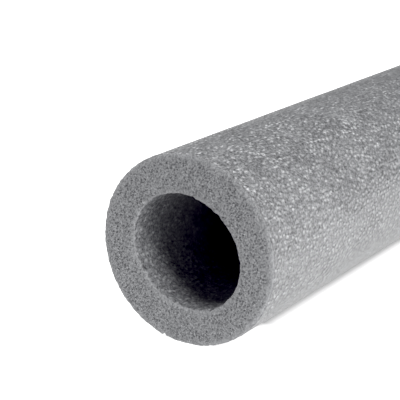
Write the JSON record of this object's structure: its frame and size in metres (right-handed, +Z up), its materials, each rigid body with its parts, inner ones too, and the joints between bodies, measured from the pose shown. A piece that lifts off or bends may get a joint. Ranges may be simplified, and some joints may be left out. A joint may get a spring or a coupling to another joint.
{
  "type": "foam pipe insulation tube",
  "caption": "Straight unslit tube of grey closed-cell foam lagging, cut square at both ends, that slips over a pipe to insulate it.",
  "frame": {"origin": "on the floor under the middle of the tube's length", "axes": "+X along the tube, away from the end that the picture shows; +Z up; the tube lies on the floor"},
  "size_m": [1, 0.0468, 0.0468],
  "materials": {
    "foam": "grey closed-cell polyethylene foam with a pebbled, slightly shiny skin and a matt, finely pitted cut face"
  },
  "bodies": {
    "root": {"foam_tube": "foam"}
  },
  "joints": []
}
